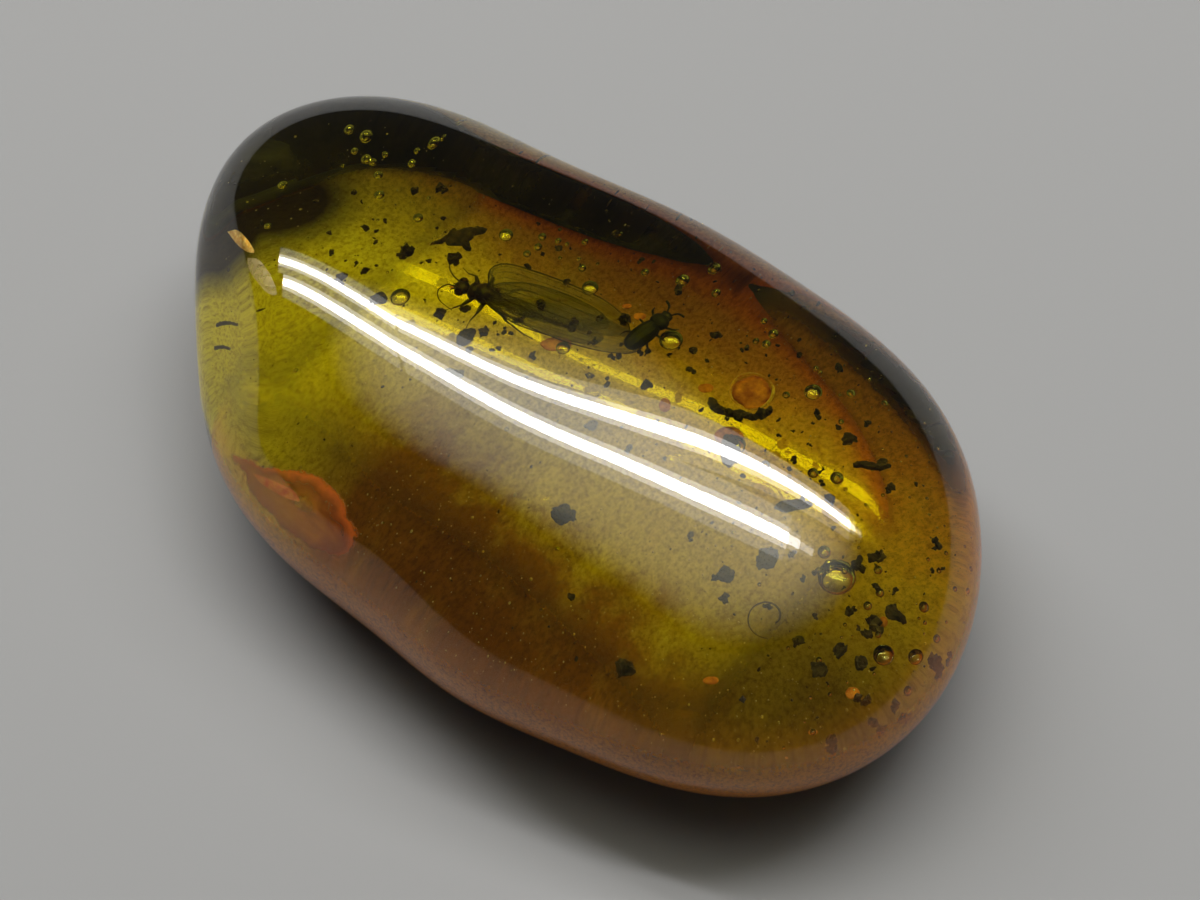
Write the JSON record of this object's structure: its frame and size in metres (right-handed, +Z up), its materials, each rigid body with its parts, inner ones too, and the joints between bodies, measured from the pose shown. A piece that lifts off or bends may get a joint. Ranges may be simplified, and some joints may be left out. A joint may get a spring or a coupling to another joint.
{
  "type": "insect in amber",
  "caption": "Polished, domed pebble of golden clear amber with a winged insect, a small beetle and plant debris sealed inside.",
  "frame": {"origin": "middle of the plan box, on the flat underside on which the pebble lies", "axes": "+X along the pebble towards its broad round end, +Y towards the far long side, +Z up through the dome"},
  "size_m": [0.045, 0.027, 0.015],
  "materials": {
    "amber": "polished, clear",
    "insect": "satin, dark brown",
    "beetle": "glossy, black",
    "debris": "matt, dark brown"
  },
  "bodies": {
    "root": {"amber_lower": "amber", "amber_upper": "amber", "bark_fragment": "debris", "curled_hair": "debris", "dark_fleck_01": "debris", "dark_fleck_02": "debris", "dark_fleck_03": "debris", "dark_fleck_04": "debris", "dark_fleck_05": "debris", "dark_fleck_06": "debris", "dark_fleck_07": "debris", "dark_fleck_08": "debris", "dark_fleck_09": "debris", "dark_fleck_10": "debris", "dark_fleck_11": "debris", "dark_fleck_12": "debris", "dark_fleck_13": "debris", "dark_fleck_14": "debris", "dark_fleck_15": "debris", "dark_fleck_16": "debris", "dark_fleck_17": "debris", "debris_clump": "debris", "droppings_pellet": "debris", "plant_thread_1": "debris", "plant_thread_2": "debris", "small_beetle": "beetle", "winged_insect": "insect"}
  },
  "joints": []
}
